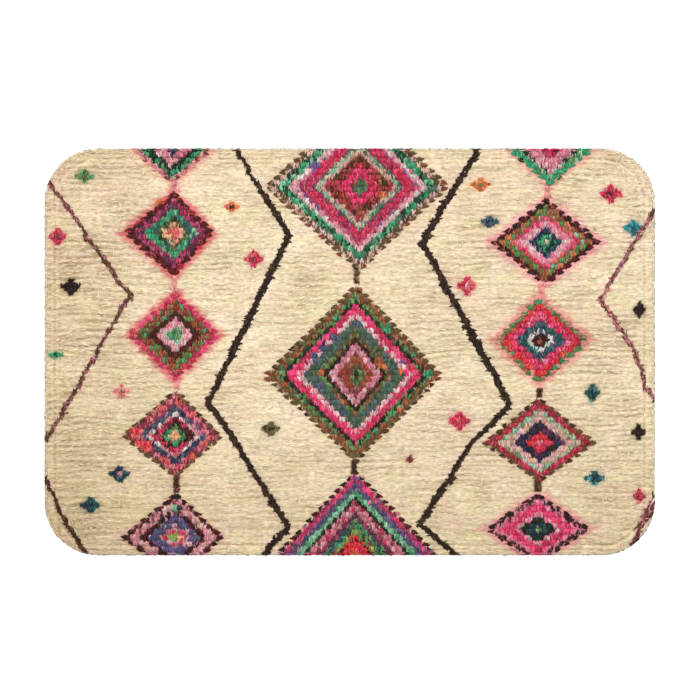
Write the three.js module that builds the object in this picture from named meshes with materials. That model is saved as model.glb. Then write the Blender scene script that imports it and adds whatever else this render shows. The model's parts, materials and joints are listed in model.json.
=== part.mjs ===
// A flat doormat with rounded corners. It is one plush cloth: its edge is rolled under as a hem
// and stitched down all round, and the stitching draws a soft channel into the face.
// Millimetres, +Z up. The origin is the middle of the underside, +X runs along the long side.

import * as THREE from "three";

// The whole mat
const length = 600;
const width = 400;
const thickness = 8;
const cornerRadius = 53;

// The rolled hem, in a cut across the edge
const rollReach = 4.5; // from the edge in to the hem's crest
const rollWidest = 3.4; // height at which the edge reaches furthest out
const underReach = 2.6; // from the edge in to where the roll meets the floor
const hemHeight = 7.6;

// The stitched channel between the hem and the face
const channelInset = 10.6; // from the edge to the channel's middle
const channelWidth = 5.6;
const channelDepth = 1.9;

// How finely the curves are divided
const cornerSteps = 14;
const rollSteps = 6;
const channelSteps = 10;

// A quarter turn of an ellipse, from its outermost point (share 0) to its top or bottom (share 1)
function quarterTurn(reach, rise, share) {
  const angle = (share * Math.PI) / 2;
  return { inset: reach * (1 - Math.cos(angle)), height: rollWidest + rise * Math.sin(angle) };
}

// The roll, from the floor out to the edge and up to the hem's crest
function rollSections() {
  const sections = [];
  for (let step = rollSteps; step > 0; step -= 1) {
    sections.push(quarterTurn(underReach, -rollWidest, step / rollSteps));
  }
  for (let step = 0; step <= rollSteps; step += 1) {
    sections.push(quarterTurn(rollReach, hemHeight - rollWidest, step / rollSteps));
  }
  return sections;
}

// The channel, a smooth dip that rises from the hem's height to the full thickness
function channelSections() {
  const sections = [];
  for (let step = 0; step <= channelSteps; step += 1) {
    const across = step / channelSteps;
    const dip = channelDepth * Math.sin(across * Math.PI) ** 2;
    const level = THREE.MathUtils.lerp(hemHeight, thickness, THREE.MathUtils.smoothstep(across, 0, 1));
    sections.push({
      inset: channelInset + channelWidth * (across - 0.5),
      height: level - dip,
    });
  }
  return sections;
}

// The mat's outline drawn in by an inset, as a closed ring of points, anticlockwise from above
function ringOf({ inset, height }) {
  const radius = cornerRadius - inset;
  const cornerX = length / 2 - cornerRadius;
  const cornerY = width / 2 - cornerRadius;
  const ring = [];
  for (let corner = 0; corner < 4; corner += 1) {
    const signX = corner === 0 || corner === 3 ? 1 : -1;
    const signY = corner < 2 ? 1 : -1;
    for (let step = 0; step <= cornerSteps; step += 1) {
      const angle = ((corner + step / cornerSteps) * Math.PI) / 2;
      const x = signX * cornerX + radius * Math.cos(angle);
      const y = signY * cornerY + radius * Math.sin(angle);
      ring.push(new THREE.Vector3(x, y, height));
    }
  }
  return ring;
}

// The corner numbers of the triangles that fill a ring, anticlockwise from above
function lidTriangles(ring) {
  const outline = ring.map((point) => new THREE.Vector2(point.x, point.y));
  return THREE.ShapeUtils.triangulateShape(outline, []);
}

// Rings stacked from the underside's rim to the face's rim, closed by a lid at each end
function matGeometry() {
  const rings = [...rollSections(), ...channelSections()].map(ringOf);
  const ringSize = rings[0].length;
  const lastStart = (rings.length - 1) * ringSize;
  const positions = rings.flat().flatMap((point) => [point.x, point.y, point.z]);
  const faces = [];

  for (let level = 0; level + 1 < rings.length; level += 1) {
    for (let place = 0; place < ringSize; place += 1) {
      const next = (place + 1) % ringSize;
      const low = level * ringSize;
      const high = low + ringSize;
      faces.push(low + place, low + next, high + next);
      faces.push(low + place, high + next, high + place);
    }
  }
  for (const [a, b, c] of lidTriangles(rings[0])) {
    faces.push(a, c, b);
  }
  for (const [a, b, c] of lidTriangles(rings[rings.length - 1])) {
    faces.push(lastStart + a, lastStart + b, lastStart + c);
  }

  const geometry = new THREE.BufferGeometry();
  geometry.setAttribute("position", new THREE.Float32BufferAttribute(positions, 3));
  geometry.setIndex(faces);
  geometry.computeVertexNormals();
  return geometry;
}

const plush = new THREE.MeshStandardMaterial({ color: "#e2d0a8", roughness: 0.95, metalness: 0 });

const mat = new THREE.Mesh(matGeometry(), plush);
mat.name = "mat";

const doormat = new THREE.Group();
doormat.add(mat);

export default doormat;
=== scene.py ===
import json
import math

import bpy
import numpy as np
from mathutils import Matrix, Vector

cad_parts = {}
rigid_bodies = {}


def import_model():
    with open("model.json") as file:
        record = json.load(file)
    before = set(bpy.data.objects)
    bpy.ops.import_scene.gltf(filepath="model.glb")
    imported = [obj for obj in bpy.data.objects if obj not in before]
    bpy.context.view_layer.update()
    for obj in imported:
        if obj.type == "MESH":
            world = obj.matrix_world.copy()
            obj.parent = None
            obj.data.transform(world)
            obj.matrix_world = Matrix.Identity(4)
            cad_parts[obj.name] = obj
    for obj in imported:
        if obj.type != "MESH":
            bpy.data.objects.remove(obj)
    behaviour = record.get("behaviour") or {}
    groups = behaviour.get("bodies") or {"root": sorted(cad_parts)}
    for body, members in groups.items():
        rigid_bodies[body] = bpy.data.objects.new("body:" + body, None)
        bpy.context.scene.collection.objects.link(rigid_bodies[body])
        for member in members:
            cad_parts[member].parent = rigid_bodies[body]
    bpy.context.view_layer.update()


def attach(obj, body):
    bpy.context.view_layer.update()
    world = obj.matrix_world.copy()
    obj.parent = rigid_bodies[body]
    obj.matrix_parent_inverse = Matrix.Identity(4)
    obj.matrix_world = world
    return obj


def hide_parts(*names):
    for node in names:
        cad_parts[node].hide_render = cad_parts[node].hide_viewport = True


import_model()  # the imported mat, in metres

millimetre = 0.001  # every size below is in millimetres, and meshes are scaled when they are built

# sizes of the mat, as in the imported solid
matSize = {
    "length": 600,
    "width": 400,
    "thickness": 8,
    "cornerRadius": 53,
    "rollReach": 4.5,
    "rollWidest": 3.4,
    "underReach": 2.6,
    "hemHeight": 7.6,
    "channelInset": 10.6,
    "channelWidth": 5.6,
    "channelDepth": 1.9,
    "pileFill": 0.7,  # the pile shows this much of the sewn channel's depth
}


def smoothStep(value, low, high):
    share = np.clip((value - low) / (high - low), 0, 1)
    return share * share * (3 - 2 * share)


def softNoise(x, y, cell, seed):
    # random values from -1 to 1 that change smoothly over about one cell
    cells, shift = 128, 1000.0  # the field repeats after so many cells, and the shift keeps places above 0
    field = np.random.default_rng(seed).uniform(-1, 1, (cells, cells))
    u = np.asarray(x, float) / cell + shift
    v = np.asarray(y, float) / cell + shift
    column, row = np.floor(u).astype(int), np.floor(v).astype(int)
    u, v = smoothStep(u - column, 0, 1), smoothStep(v - row, 0, 1)
    left, right = column % cells, (column + 1) % cells
    low, high = row % cells, (row + 1) % cells
    bottom = field[low, left] * (1 - u) + field[low, right] * u
    top = field[high, left] * (1 - u) + field[high, right] * u
    return bottom * (1 - v) + top * v


def noiseSum(x, y, layers):
    # soft noise in layers, each with a height, a squeeze of x and of y, a cell and a seed
    return sum(height * softNoise(x * squeezeX, y * squeezeY, cell, seed)
               for height, squeezeX, squeezeY, cell, seed in layers)


def blend(under, over, share):
    # two colours mixed by a share for each place
    return under * (1 - share[:, None]) + over * share[:, None]


def toned(value, powers):
    # brightness as a colour: red, green and blue fall off by their own powers
    return np.stack([value ** power for power in powers], axis=1)


def insetOf(x, y):
    # how far inside the mat's outline a point lies
    radius = matSize["cornerRadius"]
    overX = np.abs(x) - (matSize["length"] / 2 - radius)
    overY = np.abs(y) - (matSize["width"] / 2 - radius)
    outside = np.hypot(np.maximum(overX, 0), np.maximum(overY, 0))
    return radius - outside - np.minimum(np.maximum(overX, overY), 0)


def faceHeight(inset):
    # the pile's height over the roll, the sewn channel and the face
    size = matSize
    rollShare = np.clip(1 - inset / size["rollReach"], 0, 1)
    roll = size["rollWidest"] + (size["hemHeight"] - size["rollWidest"]) * np.sqrt(1 - rollShare ** 2)
    across = np.clip((inset - size["channelInset"]) / size["channelWidth"] + 0.5, 0, 1)
    level = size["hemHeight"] + (size["thickness"] - size["hemHeight"]) * smoothStep(across, 0, 1)
    dipped = level - size["pileFill"] * size["channelDepth"] * np.sin(across * math.pi) ** 2
    return np.where(inset < size["rollReach"], roll, dipped)


# wool colours, as they look on the mat
yarns = {
    "cream": (231, 212, 181),
    "salmon": (228, 150, 142),
    "pinkRun": (212, 104, 110),
    "brown": (104, 80, 52),
    "bark": (72, 52, 34),
    "ink": (48, 36, 30),
    "wine": (90, 30, 34),
    "maroon": (128, 58, 60),
    "brick": (158, 52, 50),
    "rust": (150, 84, 52),
    "emerald": (56, 154, 108),
    "leaf": (92, 132, 76),
    "pine": (34, 62, 48),
    "moss": (98, 96, 60),
    "mint": (134, 184, 150),
    "spruce": (76, 102, 84),
    "teal": (40, 88, 86),
    "sea": (52, 136, 142),
    "slate": (82, 88, 112),
    "violet": (104, 84, 132),
    "navy": (40, 50, 74),
    "crimson": (196, 44, 82),
    "hotPink": (234, 66, 118),
    "magenta": (166, 54, 96),
    "plum": (104, 54, 76),
    "rose": (205, 125, 142),
    "pink": (236, 128, 158),
    "blush": (222, 172, 174),
    "beige": (204, 166, 146),
    "chalk": (220, 212, 202),
    "scarlet": (220, 44, 58),
    "coral": (216, 98, 98),
    "orange": (214, 118, 66),
    "peach": (232, 168, 128),
    "lime": (150, 178, 92),
}
yarnNames = list(yarns)
paintedHighlight = (242, 226, 218)  # colour of the painted highlight on the strands
leastLight = 0.003  # no wool is quite black


def asLight(seen):
    # screen colour to the amount of light it stands for
    seen = np.clip(np.asarray(seen, float) / 255, 0, 1)
    return np.where(seen <= 0.04045, seen / 12.92, ((seen + 0.055) / 1.055) ** 2.4)


yarnLight = asLight(list(yarns.values()))


def lightOf(yarn):
    return yarnLight[yarnNames.index(yarn)]


# The pattern, charted from the mat's middle. Reach is left, right, up and down.
# Halo is the yarn whose dye has run, how strongly and how far. A ring starts at a share of the
# reach across and a share along, and holds yarns by weight.
lozenges = [
    {"at": (9.5, 162.0), "reach": (92.4, 87.5, 84.5, 82.6), "halo": ("beige", 0.25, 4),
     "teeth": "brown 8 maroon 1 rust 1", "rings": [
        (0.98, 0.98, "brown 6 beige 3 rust 1"), (0.945, 0.945, "beige 5 blush 2 brown 3"),
        (0.885, 0.885, "emerald 4 mint 2 pine 3 spruce 2 ink 1"),
        (0.765, 0.775, "blush 7 chalk 2 rose 1"), (0.695, 0.71, "violet 2 magenta 2 rose 4 pink 2"),
        (0.655, 0.67, "crimson 8 magenta 2 plum 1"), (0.50, 0.53, "spruce 4 plum 2 mint 1"),
        (0.475, 0.50, "mint 3 beige 3 spruce 3"), (0.425, 0.43, "beige 4 rose 3 maroon 1"),
        (0.385, 0.39, "brick 4 rust 2 bark 3 crimson 1"), (0.225, 0.26, "crimson 5 hotPink 3 maroon 2"),
        (0.115, 0.12, "leaf 4 spruce 3 brick 1")]},
    {"at": (6.0, -22.9), "reach": (89.5, 84.9, 89.3, 85.4), "halo": ("beige", 0.15, 3),
     "teeth": "brown 6 rust 2 bark 2", "rings": [
        (0.98, 0.98, "brown 5 rust 3 moss 2"), (0.905, 0.90, "leaf 4 emerald 2 rust 3 pine 1"),
        (0.845, 0.83, "ink 3 pine 4 leaf 2"), (0.775, 0.79, "crimson 5 hotPink 5"),
        (0.665, 0.70, "blush 6 chalk 2 hotPink 1"), (0.59, 0.63, "spruce 6 slate 3 moss 1"),
        (0.435, 0.495, "leaf 4 moss 3 rust 2 orange 1"), (0.365, 0.43, "ink 6 bark 3"),
        (0.31, 0.365, "rose 5 blush 3 maroon 1"), (0.215, 0.26, "maroon 3 brick 3 rust 4"),
        (0.125, 0.13, "moss 3 leaf 2 brick 1"), (0.05, 0.055, "ink 6 pine 4")]},
    {"at": (5.2, -206.6), "reach": (84.5, 88.5, 89.9, 89.5), "halo": ("beige", 0.0, 3),
     "teeth": "wine 4 ink 4 rose 1", "rings": [
        (0.98, 0.98, "ink 5 wine 4 rose 1"), (0.945, 0.965, "magenta 6 hotPink 3 violet 1"),
        (0.86, 0.87, "slate 4 violet 4 rose 1"), (0.78, 0.80, "mint 6 emerald 3"),
        (0.70, 0.725, "ink 6 pine 3"), (0.655, 0.68, "rose 5 crimson 2 maroon 2 blush 1"),
        (0.53, 0.55, "magenta 3 plum 5"), (0.45, 0.48, "teal 3 spruce 3 emerald 2 leaf 3"),
        (0.37, 0.38, "leaf 3 lime 3 brick 3 bark 1"), (0.30, 0.30, "scarlet 5 wine 3 rose 1"),
        (0.25, 0.24, "scarlet 8 crimson 1"), (0.15, 0.16, "orange 5 scarlet 3 lime 1")]},
    {"at": (-174.2, 212.8), "reach": (53.1, 54.5, 44.5, 46.8), "halo": ("salmon", 0.8, 7),
     "teeth": "maroon 4 rose 3 salmon 3", "rings": [
        (0.98, 0.98, "maroon 4 rose 3 salmon 3"), (0.91, 0.91, "emerald 4 leaf 3 pine 2"),
        (0.76, 0.76, "pine 4 ink 4 blush 1"), (0.66, 0.66, "blush 4 rose 4 maroon 1"),
        (0.43, 0.44, "navy 1 slate 6 ink 1")]},
    {"at": (-172.3, 116.4), "reach": (48.7, 38.5, 40.0, 41.8), "halo": ("pinkRun", 0.95, 9),
     "teeth": "wine 6 crimson 2 ink 1", "rings": [
        (0.98, 0.98, "wine 6 brick 2 ink 1"), (0.85, 0.85, "magenta 6 plum 3 crimson 1"),
        (0.63, 0.61, "emerald 7 teal 2 mint 1"), (0.43, 0.43, "spruce 3 leaf 2 moss 3 pine 1"),
        (0.31, 0.30, "peach 5 chalk 1 salmon 2 moss 2"), (0.18, 0.18, "coral 5 peach 4")]},
    {"at": (-170.9, 16.9), "reach": (46.2, 42.6, 40.8, 44.2), "halo": ("pinkRun", 0.9, 8),
     "teeth": "crimson 5 hotPink 3 coral 1", "rings": [
        (0.98, 0.98, "crimson 5 hotPink 2 coral 3"),
        (0.87, 0.86, "moss 3 leaf 3 rust 3 brick 1 emerald 1"), (0.61, 0.58, "bark 5 wine 3"),
        (0.425, 0.41, "blush 5 pink 2 rose 2"), (0.27, 0.27, "chalk 3 mint 2 blush 3"),
        (0.21, 0.20, "emerald 7 leaf 1")]},
    {"at": (-170.9, -82.7), "reach": (52.4, 45.2, 45.6, 41.4), "halo": ("beige", 0.3, 3),
     "teeth": "bark 4 brown 5", "rings": [
        (0.98, 0.98, "brown 4 maroon 3 coral 2"), (0.885, 0.91, "coral 6 rose 2 magenta 2 maroon 1"),
        (0.70, 0.68, "slate 5 navy 3 teal 1 rose 1"), (0.56, 0.53, "rose 5 blush 3 chalk 2"),
        (0.46, 0.46, "crimson 4 wine 4 ink 1"), (0.31, 0.32, "ink 6 pine 3"),
        (0.27, 0.24, "emerald 4 leaf 4"), (0.14, 0.15, "peach 6 orange 1")]},
    {"at": (-170.9, -181.8), "reach": (52.5, 47.3, 42.9, 41.3), "halo": ("rose", 0.3, 4),
     "teeth": "ink 5 wine 4", "rings": [
        (0.98, 0.98, "wine 4 ink 3 rose 2"), (0.87, 0.89, "rose 4 blush 2 beige 1 maroon 1"),
        (0.67, 0.70, "ink 5 wine 4 rose 1"), (0.53, 0.55, "slate 4 violet 4 blush 2"),
        (0.30, 0.27, "crimson 6 rose 2 chalk 1"), (0.16, 0.14, "lime 7 peach 2")]},
    {"at": (196.4, 209.2), "reach": (52.5, 53.8, 46.6, 46.6), "halo": ("salmon", 0.7, 7),
     "teeth": "emerald 5 leaf 2 pine 1", "rings": [
        (0.98, 0.98, "emerald 7 mint 1 leaf 1"), (0.80, 0.79, "pine 4 ink 2 blush 2 spruce 1"),
        (0.69, 0.71, "rose 6 blush 3 crimson 1"), (0.43, 0.44, "crimson 6 wine 3 magenta 1")]},
    {"at": (192.7, 107.5), "reach": (53.3, 52.9, 41.8, 41.5), "halo": ("pink", 0.62, 9),
     "teeth": "ink 5 wine 5", "rings": [
        (0.98, 0.98, "wine 5 ink 3 brick 1 rust 1"), (0.86, 0.87, "rust 5 orange 3 leaf 2"),
        (0.77, 0.77, "leaf 5 rust 3 mint 1 coral 1"), (0.67, 0.66, "crimson 6 coral 2 hotPink 2"),
        (0.57, 0.57, "pink 6 hotPink 2 blush 2"), (0.46, 0.49, "blush 5 pink 3 chalk 1"),
        (0.31, 0.39, "navy 6 slate 2 teal 2"), (0.20, 0.26, "pine 6 emerald 3"),
        (0.10, 0.13, "emerald 3 mint 3 spruce 2"), (0.03, 0.03, "beige 1")]},
    {"at": (186.4, 11.1), "reach": (43.9, 48.2, 42.8, 43.0), "halo": ("salmon", 0.9, 9),
     "teeth": "leaf 3 salmon 6 moss 1", "rings": [
        (0.98, 0.98, "leaf 6 moss 2 emerald 1 salmon 1"), (0.89, 0.87, "scarlet 8 crimson 2 orange 1"),
        (0.72, 0.68, "crimson 5 hotPink 4 pink 2"), (0.58, 0.48, "slate 5 teal 3 maroon 1"),
        (0.34, 0.30, "chalk 5 mint 2 slate 1"), (0.22, 0.18, "ink 5 wine 3"),
        (0.09, 0.07, "rust 6 brick 2")]},
    {"at": (186.4, -89.1), "reach": (54.5, 54.4, 44.2, 39.0), "halo": ("beige", 0.3, 4),
     "teeth": "bark 4 brown 5 maroon 1", "rings": [
        (0.98, 0.98, "maroon 4 brown 3 crimson 1"), (0.91, 0.91, "crimson 6 brick 3"),
        (0.76, 0.77, "mint 6 beige 3 leaf 1"), (0.64, 0.66, "beige 4 blush 4 peach 1"),
        (0.47, 0.50, "navy 6 ink 3 plum 1"), (0.24, 0.25, "scarlet 7 crimson 2"), (0.07, 0.07, "rose 1")]},
    {"at": (184.8, -174.2), "reach": (51.0, 50.2, 35.4, 33.4), "halo": ("pink", 0.62, 8),
     "teeth": "ink 6 wine 2 rose 2", "rings": [
        (0.98, 0.98, "ink 6 wine 2 rose 2"), (0.90, 0.90, "ink 5 rose 5"),
        (0.82, 0.82, "pink 5 rose 3 crimson 1"), (0.73, 0.74, "hotPink 8 crimson 2"),
        (0.48, 0.50, "blush 5 pink 4"), (0.38, 0.38, "ink 6 pine 3"), (0.26, 0.24, "navy 4 teal 5"),
        (0.12, 0.10, "lime 6 leaf 2 mint 1")]},
]
# single patches of odd yarn inside the lozenges: x, y, half width, half height, yarns
patches = [
    (50.4, -11.5, 6.5, 3, "blush 4 violet 2 chalk 2"), (28.3, -10.5, 4.5, 5, "orange 4 rust 2"),
    (49.9, -17.5, 3, 3, "orange 1"), (-28.7, -20.8, 3, 3, "orange 1"),
    (-35, -5, 4, 4.5, "slate 5 navy 2"), (-25.5, 4.5, 4, 4.5, "slate 5 navy 2"),
    (-16, 14, 4, 4.5, "slate 5 navy 2"), (36.7, 22.5, 4, 4, "emerald 1"),
    (77.4, -21.8, 4, 4, "emerald 1"), (49.4, -57.2, 4, 3, "orange 2 rust 1"),
    (-34.1, 182.7, 5, 4, "violet 3 navy 1"), (32.7, 154.2, 3, 3, "orange 1"),
    (-186.5, 147.3, 4, 3, "orange 2 coral 1"), (-202.2, -90.6, 7, 5, "coral 3 scarlet 2 orange 1"),
    (-210, -78, 6, 5, "coral 4 scarlet 1"), (-155, -103.9, 4, 4, "orange 2 coral 2"),
    (-169.8, -153.5, 5, 3.5, "mint 3 pine 1"), (155.6, 6.7, 5, 4, "orange 3 scarlet 3"),
    (164.4, -5, 5, 4, "orange 2 scarlet 3"), (173.3, -14.9, 4, 4, "orange 1 scarlet 3"),
]
# short upright links between the lozenges: x, top, bottom, half width, yarns
links = [
    (7.2, 82.4, 66.7, 2.4, "bark 5 brown 3"), (4.2, -106.3, -119.1, 2.2, "bark 5 wine 2"),
    (-171.7, 170.0, 156.0, 2.6, "salmon 5 rose 2"), (-171.7, 74.0, 57.0, 2.4, "salmon 6 rose 1"),
    (-170.3, -27.0, -36.5, 3.0, "salmon 5 rose 3"), (-169.8, -122.0, -138.5, 2.7, "maroon 4 bark 4"),
    (193.9, 163.0, 149.5, 3.0, "salmon 6 rose 2"), (188.5, 66.5, 53.0, 3.2, "salmon 6 cream 2"),
    (186.6, -36.0, -45.0, 2.6, "bark 4 maroon 3"), (184.6, -126.0, -137.0, 3.0, "bark 5 brown 3"),
]
# stepped lines that run down the mat: corner points with the half width there, and yarns
steppedLines = [
    {"points": [(-111.8, 199.4, 1.9), (-84.0, 153.6, 2.4), (-59.7, 113.9, 3.6), (-139.3, -50.3, 3.1),
                (-121.6, -73.9, 2.9), (-60.7, -171.2, 3.2), (-85.2, -200, 3.0)], "yarns": "ink 7 bark 3"},
    {"points": [(126.6, 199.4, 2.6), (71.1, 107.0, 3.5), (157.6, -51.3, 3.3), (119.2, -90.6, 3.0),
                (69.1, -169.2, 3.3), (106.5, -200, 3.0)], "yarns": "ink 7 bark 3"},
    {"points": [(-300, 172, 1.5), (-294.0, 166.0, 1.5), (-216.0, 54.9, 2.0), (-290.7, -73.9, 1.7),
                (-300, -88, 1.7)], "yarns": "bark 3 maroon 3 brown 4 rose 2"},
    {"points": [(-300, -122, 1.5), (-289.7, -143.7, 1.5), (-275.9, -171.2, 1.8), (-256.8, -200, 1.8)],
     "yarns": "bark 5 brown 3 wine 2"},
    {"points": [(300, 142, 1.8), (246.0, 51.0, 2.1), (279.5, 2.8, 2.0), (290.8, -35.5, 1.8),
                (300, -51, 1.8)], "yarns": "brown 4 maroon 3 rose 2 salmon 2"},
    {"points": [(300, -142, 3.0), (293.0, -158.0, 4.6), (284.5, -172.0, 2.4), (275.5, -194, 2.2)],
     "yarns": "maroon 4 brown 2 wine 2 blush 2 rose 1"},
]
# scattered little crosses: x, y, half width, half height, yarns, heart yarns
crosses = [
    (-260.2, 171.9, 8.8, 6.4, "leaf 4 emerald 3", "moss 1"),
    (-286.7, 112.9, 8.8, 8.8, "crimson 4 coral 2", "maroon 1"),
    (-274.0, 63.7, 9.8, 7.9, "ink 4 plum 2", "ink 1"),
    (-115.7, 142.4, 6.9, 4.9, "orange 4 coral 2", "bark 1"),
    (-94.1, 91.3, 9.8, 7.9, "crimson 4 coral 2", "maroon 1"),
    (-288.7, -3.1, 6.9, 3.4, "emerald 1", "ink 1"),
    (-223.8, -39.5, 7.9, 5.9, "coral 3 salmon 3", "brown 1"),
    (-225.8, -120.1, 9.8, 7.9, "navy 4 teal 2 rose 1", "rose 1"),
    (-254.3, -150.5, 9.8, 7.9, "navy 3 teal 3", "navy 1"),
    (-77.4, -75.8, 9.8, 6.9, "moss 4 brown 2", "bark 1"),
    (59.3, -105.3, 4.4, 3.9, "maroon 1", "maroon 1"),
    (107.4, -68.0, 10.8, 8.8, "crimson 4 coral 3", "coral 1"),
    (128.1, 164.0, 9.8, 5.9, "orange 4 coral 1", "leaf 1"),
    (136.9, 127.6, 8.8, 5.9, "slate 4 teal 2", "navy 1"),
    (115.3, 64.7, 8.8, 8.8, "crimson 4 coral 2", "blush 1"),
    (255.9, 155.2, 10.8, 8.8, "crimson 5 coral 1", "wine 1"),
    (278.5, 121.7, 8.8, 7.9, "sea 6 mint 1", "teal 1"), (284.4, 41.1, 6.4, 7.9, "ink 5 plum 1", "ink 1"),
    (238.2, -40.5, 7.4, 8.8, "teal 4 sea 2", "navy 1"), (283.4, -78.8, 6.9, 7.9, "ink 5 wine 1", "ink 1"),
    (240.6, -124.0, 9.8, 6.9, "sea 3 teal 3", "navy 1"),
    (284.4, -141.7, 6.4, 6.9, "crimson 4 coral 1", "maroon 1"),
]
# shares of a cross's half sizes: its rounded body, the width of its arms and its heart
crossShape = {"body": 0.98, "arm": 0.26, "heart": 0.36}


def drawYarns(mix, dice):
    # yarn numbers picked from a mix such as "brown 5 beige 4" by dice from 0 to 1
    words = mix.split()
    numbers = np.array([yarnNames.index(name) for name in words[::2]])
    weights = np.cumsum([float(weight) for weight in words[1::2]])
    return numbers[np.searchsorted(weights / weights[-1], np.clip(dice, 0, 0.999999), side="right")]


def lozengeShares(x, y, lozenge):
    # how far out a point lies across and along the lozenge, as shares of its reach
    left, right, up, down = lozenge["reach"]
    overX, overY = x - lozenge["at"][0], y - lozenge["at"][1]
    across = np.where(overX < 0, -overX / left, overX / right)
    along = np.where(overY > 0, overY / up, -overY / down)
    return across, along


def crossYarns(x, y, dice, found):
    arm = crossShape["arm"]
    for x0, y0, halfWidth, halfHeight, yarnMix, heartMix in crosses:
        across, along = np.abs(x - x0) / halfWidth, np.abs(y - y0) / halfHeight
        inArms = ((across < 1) & (along < arm)) | ((across < arm) & (along < 1))
        inCross = (across + along < crossShape["body"]) | inArms
        found[inCross] = drawYarns(yarnMix, dice[inCross])
        heart = across + along < crossShape["heart"]
        found[heart] = drawYarns(heartMix, dice[heart])


def linkYarns(x, y, dice, found):
    for x0, top, bottom, half, mix in links:
        inLink = (np.abs(x - x0) < half) & (y < top) & (y > bottom)
        found[inLink] = drawYarns(mix, dice[inLink])


def lozengeYarns(x, y, dice, found, within=2):
    patchSize = 1.3  # a patch is a little larger than its half sizes say
    diceStep = 0.37  # rings that share a yarn don't use it at the same places
    for lozenge in lozenges:
        across, along = lozengeShares(x, y, lozenge)
        for number, (outerAcross, outerAlong, mix) in enumerate(lozenge["rings"]):
            inRing = (across / outerAcross + along / outerAlong < 1) & (across + along < within)
            found[inRing] = drawYarns(mix, (dice[inRing] + diceStep * number) % 1)
    for x0, y0, halfWidth, halfHeight, mix in patches:
        inPatch = np.abs(x - x0) / halfWidth + np.abs(y - y0) / halfHeight < patchSize
        found[inPatch] = drawYarns(mix, dice[inPatch])


def lineAt(line, y, column=0):
    # a stepped line's middle, or its half width as column 2, at a height of the mat
    points = np.array(line["points"])
    return np.interp(-y, -points[:, 1], points[:, column])


def lineReach(x, y):
    # how far outside the nearest stepped line's half width a point lies, measured across the mat
    farAway, probe, slant = 99.0, 2, 0.45
    nearest = np.full(len(x), farAway)
    for line in steppedLines:
        slope = np.abs(lineAt(line, y + probe) - lineAt(line, y - probe)) / (2 * probe)
        beyond = np.abs(x - lineAt(line, y)) / (1 + slant * slope) - lineAt(line, y, 2)
        top, bottom = line["points"][0][1], line["points"][-1][1]
        reached = (y < top + probe) & (y > bottom - probe)
        nearest = np.where(reached, np.minimum(nearest, beyond), nearest)
    return nearest


def patternYarns(x, y, dice, within=2):
    # the yarn tied at each place: its number in yarnNames, or 0 for the cream ground
    found = np.zeros(len(x), int)
    crossYarns(x, y, dice, found)
    linkYarns(x, y, dice, found)
    lozengeYarns(x, y, dice, found, within)
    return found


# dye that has run out of the knots into the cream
haloSettings = {
    "ragged": [(2.4, 1, 2.2, 6.5, 5), (1.6, 1, 2.0, 2.6, 6)],  # noise along a halo's edge
    "start": 0.5,  # a lozenge's halo fades from here, in millimetres past its outline
    "crossStrength": 0.42,
    "crossMargin": 3,  # how much larger a cross's halo is
    "crossFade": (0.55, 1.05),
    "crossRagged": 0.05,
    "crossDye": 0.6,  # share of the cross's own yarn in its halo
    "lineStrength": 0.30,
    "lineFade": (0.0, 4.5),
    "lineColour": (228, 208, 196),
}
# slow changes of the wool: ramps have an amount and a start and end from the mat's middle
groundSettings = {
    "left": (0.11, 160, 300),
    "foot": (0.10, 40, 200),
    "footLeft": (0.05, (60, 200), (0, 160)),
    "head": (0.05, 165, 200),
    "right": (0.025, 180, 290),  # this one is lighter
    "shade": [(0.025, 1, 1, 46, 11), (0.02, 0.5, 1, 17, 12)],
    "pinkish": [(0.030, 0.7, 1, 9, 13), (0.022, 1, 1, 24, 14)],
    "golden": [(0.040, 0.7, 1, 12, 15)],
    "pinkPull": (0.5, -0.6),  # what the pinkish noise does to red and green
    "dyedShare": 0.5,  # the dyed wool takes this much of the shading
    "warmth": (0.8, 1, 1.3),
}


def haloColour(x, y, colour):
    # the cream with the dye that has run into it, ragged along the rows
    settings = haloSettings
    ragged = noiseSum(x, y, settings["ragged"])
    for lozenge in lozenges:
        yarn, strength, reach = lozenge["halo"]
        across, along = lozengeShares(x, y, lozenge)
        left, right, up, down = lozenge["reach"]
        beyond = (across + along - 1) / math.hypot(2 / (left + right), 2 / (up + down))
        run = 1 - smoothStep(beyond + ragged, settings["start"], reach)
        dye = blend(lightOf("salmon"), lightOf(yarn), 0.5 + 0.5 * run)
        colour = blend(colour, dye, strength * run * (across + along < 2))
    for x0, y0, halfWidth, halfHeight, yarnMix, _ in crosses:
        margin = settings["crossMargin"]
        beyond = np.hypot((x - x0) / (halfWidth + margin), (y - y0) / (halfHeight + margin))
        run = 1 - smoothStep(beyond + settings["crossRagged"] * ragged, *settings["crossFade"])
        own = settings["crossDye"]
        dye = own * lightOf(yarnMix.split()[0]) + (1 - own) * lightOf("cream")
        colour = blend(colour, dye, settings["crossStrength"] * run)
    return colour


def groundShade(x, y):
    # the cream is a little darker and duller towards the left, the foot and the rim
    settings = groundSettings
    shade = np.ones(len(x)) + noiseSum(x, y, settings["shade"])
    for side, distance, sign in (("left", -x, -1), ("foot", -y, -1), ("head", y, -1), ("right", x, 1)):
        amount, start, end = settings[side]
        shade += sign * amount * smoothStep(distance, start, end)
    amount, acrossRamp, alongRamp = settings["footLeft"]
    return shade - amount * smoothStep(-x, *acrossRamp) * smoothStep(-y, *alongRamp)


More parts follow.
